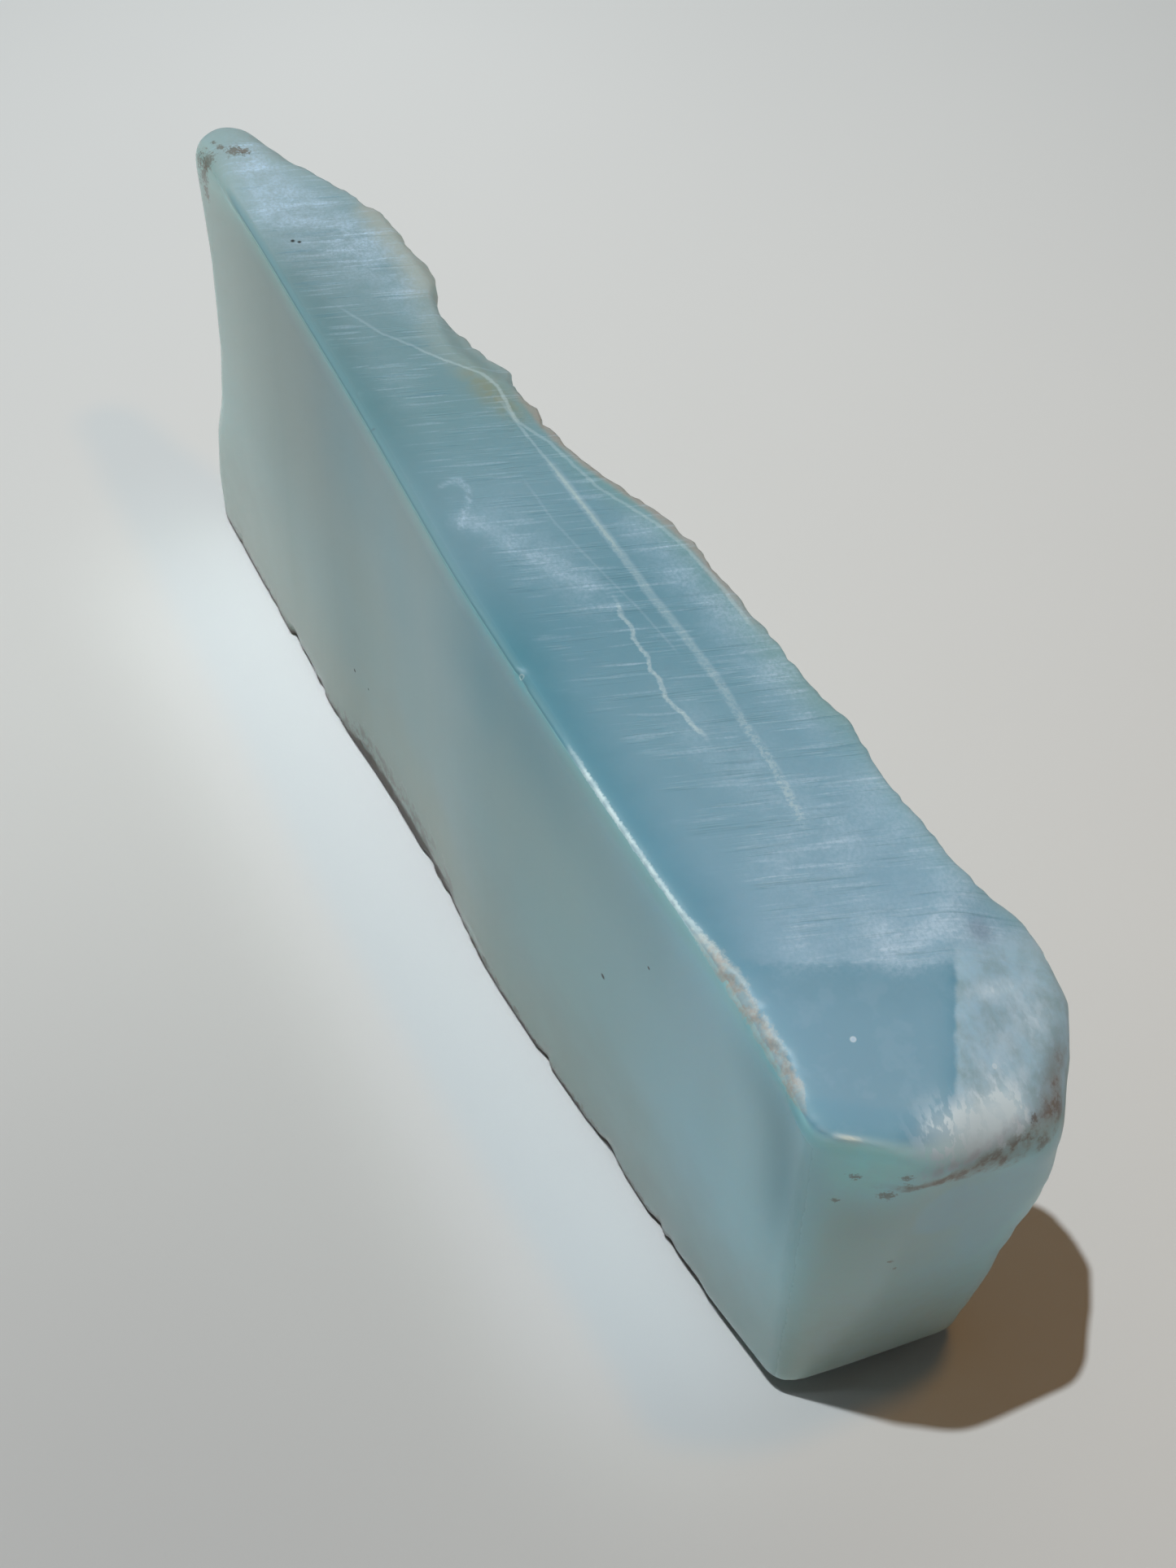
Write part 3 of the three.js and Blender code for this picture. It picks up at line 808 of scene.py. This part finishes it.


# Frost: what scatters light at the surface, as a matt skin of its own tone over the stone. Its
# glints on the worn corner are painted highlights, and its pale skin on the end face is painted
# light.
def frostSkin(board, at):
    look = stoneLook
    grains = board.rise(0.38, 0.6, at.grit)
    veins, jagged = veinsAndCracks(board, at, grains)
    curl = board.fall(0, 0.15, board.value("curl") + 0.16 * at.waver)
    curl = curl * (0.3 + 0.7 * grains) * at.onTop
    smear = board.fall(0, 0.5, board.value("smear") + 0.5 * at.waver) * at.onTop
    smear = smear * (0.3 + 0.7 * board.rise(0.4, 0.62, at.patch))
    grainy = 0.55 + 0.9 * board.rise(0.3, 0.7, at.grit)
    haze = (0.5 + 0.7 * board.rise(0.36, 0.62, at.patch)) * at.onTop * grainy
    haze = haze * board.value("haze")
    breakEdge = at.pastBreak + 2.0 * (at.ragged - 0.5) + 0.5 * (at.patch - 0.5)
    haze = haze * (1 - board.rise(0, 0.75, breakEdge) * board.fall(2, 3, at.y))
    haze = haze * (0.8 + 0.4 * at.light) * (1 - 0.35 * at.dark)
    streaks = board.rise(0.52, 0.66, at.ragged) * 0.07 * at.pastSaw * at.onTop
    milkFrost = at.pastMilk * at.onTop * (0.06 + 0.3 * board.rise(0.45, 0.7, at.milkGrain))
    overSeam = board.rise(0, 0.5, at.endSeam)
    worn = board.value("wornFrost") * board.rise(17, 17.6, at.x) * overSeam
    # painted glints: white sparkle over the worn frost stands in for highlights on the worn corner
    paintedGlintNoise = board.noise(board.scaled(at.place, (2, 4.2, 2)), 1, 3, 0.6)
    paintedGlint = worn * board.rise(0.47, 0.58, paintedGlintNoise)
    scratches = at.light * frostCover["scratch"] + at.strong * frostCover["strongScratch"]
    cover = haze * frostCover["haze"] + (scratches + smear * frostCover["smear"]) * grainy
    cover = cover + curl * frostCover["curl"] + veins + streaks + milkFrost
    cover = cover + worn * frostCover["worn"] + paintedGlint * frostCover["paintedGlint"]
    # painted light: a pale matt skin lightens the end face, more on its mottles and pale patches
    onEndOnly = at.onEnd * (1 - at.onTop) * board.rise(18.2, 18.8, at.x)
    paintedEndLight = 0.1 + 0.1 * board.rise(0.4, 0.65, at.mottle) + 0.14 * at.endPale
    cover = cover + onEndOnly * paintedEndLight

    tone = board.blend(look["frost"], look["frostGreen"], board.held(veins * 2))
    tone = board.blend(tone, look["frostWhite"], board.held(worn * 1.2 + jagged * 0.6))
    bySeam = worn * board.fall(0, 0.6, at.endSeam - 0.2 + 0.8 * at.waver)
    return cover, board.blend(tone, look["frostPink"], board.held(bySeam * 0.9))


# Lays a tone on the skin; clear takes the skin under it away first, and grip sets how fully the
# tone takes over where the mask is thin.
def laidOn(board, skin, mask, tone, share, clear=False, grip=5):
    cover, shade = skin
    under = cover * (1 - mask) if clear else cover
    return board.larger(under, mask * share), board.blend(shade, tone, board.held(mask * grip))


# Chipped edge of the wall: a thin white line that widens into pale and warm grains. The rest of
# that edge has painted shade damping its highlight, with painted shade damping the glow on the
# wall close below it, and a warm painted highlight along the corner at the thick end.
def wallEdge(board, at, skin):
    look = stoneLook
    chipped = board.rise(12.8, 14.8, at.x)
    widening = chipped * board.fall(17.6, 18.2, at.x)
    away = board.larger(
        at.offWall / (0.14 + 0.23 * widening), at.underTop / (0.16 + 0.29 * widening)
    )
    away = away + (0.5 + 0.9 * chipped) * at.waver + 0.8 * (at.grit - 0.5)
    chip = board.fall(0.6, 1.1, away) * board.fall(0.4, 0.6, at.underTop)
    chip = chip * board.rise(7.2, 8.8, at.x) * board.fall(17.9, 18.4, at.x)
    warmGrains = board.rise(0.4, 0.6, 0.5 * (at.grit + at.fine))
    chipTone = board.blend(look["chip"], look["chipPink"], warmGrains)
    chipTone = board.blend(look["chipLine"], chipTone, chipped)
    chipShare = (0.95 - 0.2 * chipped) * (0.6 + 0.4 * board.rise(0.4, 0.55, at.fine))
    skin = laidOn(board, skin, chip, chipTone, chipShare, clear=True)

    # painted shade: a darker matt tone over the wall's top edge damps its highlight
    shadedEdge = board.fall(0.06, 0.2, at.underTop) * board.fall(0.05, 0.25, at.offWall)
    shadedEdge = shadedEdge * board.fall(6, 8, at.x) * board.rise(-16.5, -14.5, at.x)
    skin = laidOn(board, skin, shadedEdge, look["edgeShade"], 0.6)
    # painted shade: a matt skin over the wall just below its edge damps the glow there
    glowShade = board.fall(0.1, 1, at.underTop) * at.onWall * (1 - at.onTop) * (1 - chip)
    alongWall = 0.45 * board.rise(-15, -12, at.x) + 0.55 * board.rise(6, 9, at.x)
    glowShade = glowShade * alongWall * board.fall(17.4, 18.4, at.x)
    skin = laidOn(board, skin, glowShade, look["wallGlowShade"], 0.5)
    # painted highlight: a warm gleam drawn along the corner where wall, top and end meet
    paintedGleam = board.fall(0, 0.12, board.value("cornerGleam")) * board.fall(0.3, 0.6, at.underTop)
    nearCorner = board.fall(0.05, 0.5, board.awayFrom(at.place, look["paintedGleamPlace"]))
    paintedGleam = paintedGleam * (0.2 + 0.8 * nearCorner)
    return laidOn(board, skin, paintedGleam, look["paintedWarmGleam"], 0.9, grip=1)


# Brown seam over the thick end, wider towards the broken side, and a smudge behind it.
def seamAndSmudge(board, at, colour, skin):
    width = 0.18 + 0.42 * board.rise(-1.6, 0.8, at.y) - 0.3 * board.rise(1.7, 2.6, at.y)
    seam = board.fall(0.2, 1.2, abs(at.endSeam + 0.45 * at.waver) / width)
    seam = seam * board.rise(-2.6, -0.8, at.y) * board.rise(18.3, 19, at.x)
    seam = seam * (0.55 + 0.45 * board.rise(0.36, 0.6, at.fine))
    seam = seam * (1 - 0.6 * board.rise(2.1, 2.9, at.y))
    seamDark = seam * board.rise(0.48, 0.6, at.fine + 0.4 * (at.grit - 0.5))
    smudge = board.fall(0.1, 0.5, board.awayFrom(at.place, stoneLook["smudgePlace"]))
    cover, shade = skin
    for mask, tone in ((seam, "seam"), (seamDark, "brown"), (smudge, "purple")):
        share = board.held(mask * toneCover[tone])
        colour = board.blend(colour, stoneLook[tone], share)
        cover = cover * (1 - share)
    return colour, (cover, shade)


# Soil along the foot of the wall, thicker in the middle; it is dry, so it lies in the skin. The
# dark band all along the very foot is painted shade with soil in it.
def soilAndShadeAtFoot(board, at, skin):
    thicker = board.rise(-9, -6, at.x) * board.fall(-0.5, 1.5, at.x)
    clumps = board.fall(0.5, 1, (at.z - 2.0 * at.waver) / (0.5 + 1.3 * thicker))
    clumps = clumps * (1 - at.onTop) * board.rise(0.44, 0.54, at.fine + 0.4 * (at.grit - 0.5))
    # painted shade and soil: a dark band all along the very foot of the wall
    thin = board.fall(0.9, 1.3, (at.z + 0.7 * at.waver) / (0.3 + 0.4 * thicker))
    thin = thin * (1 - at.onTop)
    skin = laidOn(board, skin, clumps, stoneLook["soilAndShade"], 0.5, clear=True)
    return laidOn(board, skin, thin, stoneLook["soilAndShade"], 0.95, clear=True)


# Round specks and painted highlight dots, which also lay the matt skin; the brown specks have
# ragged outlines.
def specks(board, at, colour, skin):
    cover, shade = skin
    kinds = [("dark", "speck", 0.9), ("paintedGleam", "paintedGleam", 1), ("brown", "brown", 0.6)]
    for name, tone, share in kinds:
        for *middle, radius in stoneSpecks[name]:
            ragged = 3.0 * radius * (at.grit - 0.5) if name == "brown" else 0.0
            away = board.awayFrom(at.place, middle) + ragged
            spot = board.fall(radius * 0.4, radius * 1.15, away)
            colour = board.blend(colour, stoneLook[tone], spot * share)
            cover = board.larger(cover, spot) if name == "paintedGleam" else cover * (1 - spot)
    return colour, (cover, shade)


# Finish: polished wall, duller top, matt broken side and edges; returns roughness and bump normal.
def stoneFinish(board, at):
    look = stoneLook
    sides = board.larger(at.onTop, board.larger(at.onWall, at.onEnd))
    byEnd = board.fall(0.4, 1, at.underTop) * board.fall(0.8, 1.8, at.offEnd)
    byWall = board.fall(0.05, 0.2, at.underTop) * board.fall(0.05, 0.2, at.offWall)
    roughness = mix(look["wallRoughness"], look["topRoughness"], at.onTop)
    roughness = board.larger(roughness, look["edgeRoughness"] * board.larger(byEnd, byWall))
    roughness = roughness + 0.06 * at.waver + 0.3 * (1 - sides) + 0.16 * at.onEnd
    height = (at.light - at.dark) * 0.5 + at.grit * 0.1 * at.onTop
    height = height + at.mottle * (1 - sides) * 0.8
    bump = {"Strength": 0.6, "Distance": look["bumpHeight"], "Height": height}
    return board.held(roughness), board.node("Bump", {}, bump)


def larimarMaterial():
    look = stoneLook
    board = Board("larimarStone")
    at = stoneFields(board)
    colour = stoneColour(board, at)
    skin = wallEdge(board, at, frostSkin(board, at))
    colour, skin = seamAndSmudge(board, at, colour, skin)
    skin = soilAndShadeAtFoot(board, at, skin)
    colour, (cover, shade) = specks(board, at, colour, skin)
    roughness, normal = stoneFinish(board, at)
    stone = board.node("BsdfPrincipled", {"subsurface_method": "RANDOM_WALK"}, {
        "Base Color": colour, "Roughness": roughness, "Normal": normal, "IOR": look["ior"],
        "Subsurface Weight": look["subsurface"], "Subsurface Radius": look["subsurfaceTint"],
        "Subsurface Scale": look["subsurfaceReach"],
    })
    matt = board.node("BsdfPrincipled", {}, {
        "Base Color": shade, "Roughness": look["skinRoughness"], "Normal": normal,
        "IOR": look["skinIor"],
    })
    return board.finished(board.node("MixShader", {}, {0: board.held(cover), 1: stone, 2: matt}))


stone = makeStone()
stone.data.materials.append(larimarMaterial())
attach(stone, "root")
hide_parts("larimar_stone")
print("larimar material done")

# A plain pale floor, far wider than the stone, with a painted shadow: a soft darker patch beside
# the thick end, on the wall's side.
floorLook = {
    "size": 1.6, "colour": tint(228, 227, 224), "paintedShadow": tint(198, 198, 197), "roughness": 0.6,
    "paintedShadowPlace": (0.018, -0.018, 0), "paintedShadowReach": 0.036, "paintedShadowShare": 0.9,  # metres
    "mottleScale": 60.0, "mottleShare": 0.1,
}


def makeFloor():
    look = floorLook
    half = look["size"] / 2
    mesh = bpy.data.meshes.new("paleFloor")
    corners = [(-half, -half, 0), (half, -half, 0), (half, half, 0), (-half, half, 0)]
    mesh.from_pydata(corners, [], [(0, 1, 2, 3)])
    floor = addObject("paleFloor", mesh)
    board = Board("palePaint")
    place = board.node("TexCoord", {}, {}, 3)
    # painted shadow: the floor darkens softly towards one point beside the thick end
    paintedShadow = board.fall(0.0, look["paintedShadowReach"], board.awayFrom(place, look["paintedShadowPlace"]))
    mottle = board.noise(place, look["mottleScale"], 3.0)
    share = paintedShadow * look["paintedShadowShare"] + look["mottleShare"] * mottle
    shade = board.blend(look["colour"], look["paintedShadow"], share)
    paint = {"Base Color": shade, "Roughness": look["roughness"]}
    mesh.materials.append(board.finished(board.node("BsdfPrincipled", {}, paint)))
    return floor


makeFloor()

# Lamps: place, aim and width in millimetres, spread in degrees, power in watts. The key lamp is
# cool and high, the side lamp warm and close.
studioLights = {
    "keyLamp": {
        "place": (-9, -53.5, 300), "aim": (-50, 15, 0), "size": 6, "spread": 73.7,
        "power": 0.1145, "colour": (0.92, 1.0, 1.05),
    },
    "sideLamp": {
        "place": (24, 14.2, 87.6), "aim": (10, 0, 0), "size": 6, "spread": 180,
        "power": 0.0084, "colour": (1.0, 0.5, 0.11),
    },
    # a narrow strip along the wall's foot, in place of the light that the polished wall throws back
    "stripLamp": {
        "place": (-1, -20, 78), "aim": (-1, -4.6, 0), "size": 1.5, "length": 36, "spread": 9,
        "power": 0.00015, "colour": (0.86, 1.0, 1.08),
    },
    "air": {"colour": (0.068, 0.067, 0.063), "strength": 1.0},
}


def makeLights():
    for name in ("keyLamp", "sideLamp", "stripLamp"):
        setup = studioLights[name]
        lamp = bpy.data.lights.new(name, "AREA")
        lamp.shape, lamp.size = "DISK", setup["size"] * 0.001
        if "length" in setup:
            lamp.shape = "RECTANGLE"
            lamp.size, lamp.size_y = setup["length"] * 0.001, setup["size"] * 0.001
        lamp.energy, lamp.color = setup["power"], setup["colour"]
        lamp.spread = math.radians(setup["spread"])
        holder = addObject(name, lamp)
        holder.location = Vector(setup["place"]) * 0.001
        way = Vector(setup["place"]) - Vector(setup["aim"])
        holder.rotation_euler = way.to_track_quat("Z", "Y").to_euler()
        holder.visible_camera = False
    world = bpy.data.worlds.new("studioAir")
    world.use_nodes = True
    backdrop = world.node_tree.nodes["Background"]
    backdrop.inputs["Color"].default_value = (*studioLights["air"]["colour"], 1)
    backdrop.inputs["Strength"].default_value = studioLights["air"]["strength"]
    bpy.context.scene.world = world


makeLights()
print("floor and lights done")

# Camera: place and clipping in metres, heading and tilt down in degrees, lens and sensor in mm.
cameraSetup = {
    "place": (0.03756, -0.01849, 0.05), "heading": 62.56, "tilt": 48, "lens": 48.57, "sensor": 36,
    "nearest": 0.001, "farthest": 10,
}


def makeCamera():
    setup = cameraSetup
    data = bpy.data.cameras.new("studioCamera")
    data.lens, data.sensor_width, data.sensor_fit = setup["lens"], setup["sensor"], "AUTO"
    data.clip_start, data.clip_end = setup["nearest"], setup["farthest"]
    camera = addObject("studioCamera", data)
    heading, tilt = math.radians(setup["heading"]), math.radians(setup["tilt"])
    camera.location = setup["place"]
    camera.rotation_euler = (math.pi / 2 - tilt, 0, heading)
    bpy.context.scene.camera = camera


makeCamera()
bpy.context.scene.view_settings.view_transform = "Standard"
print("camera done")
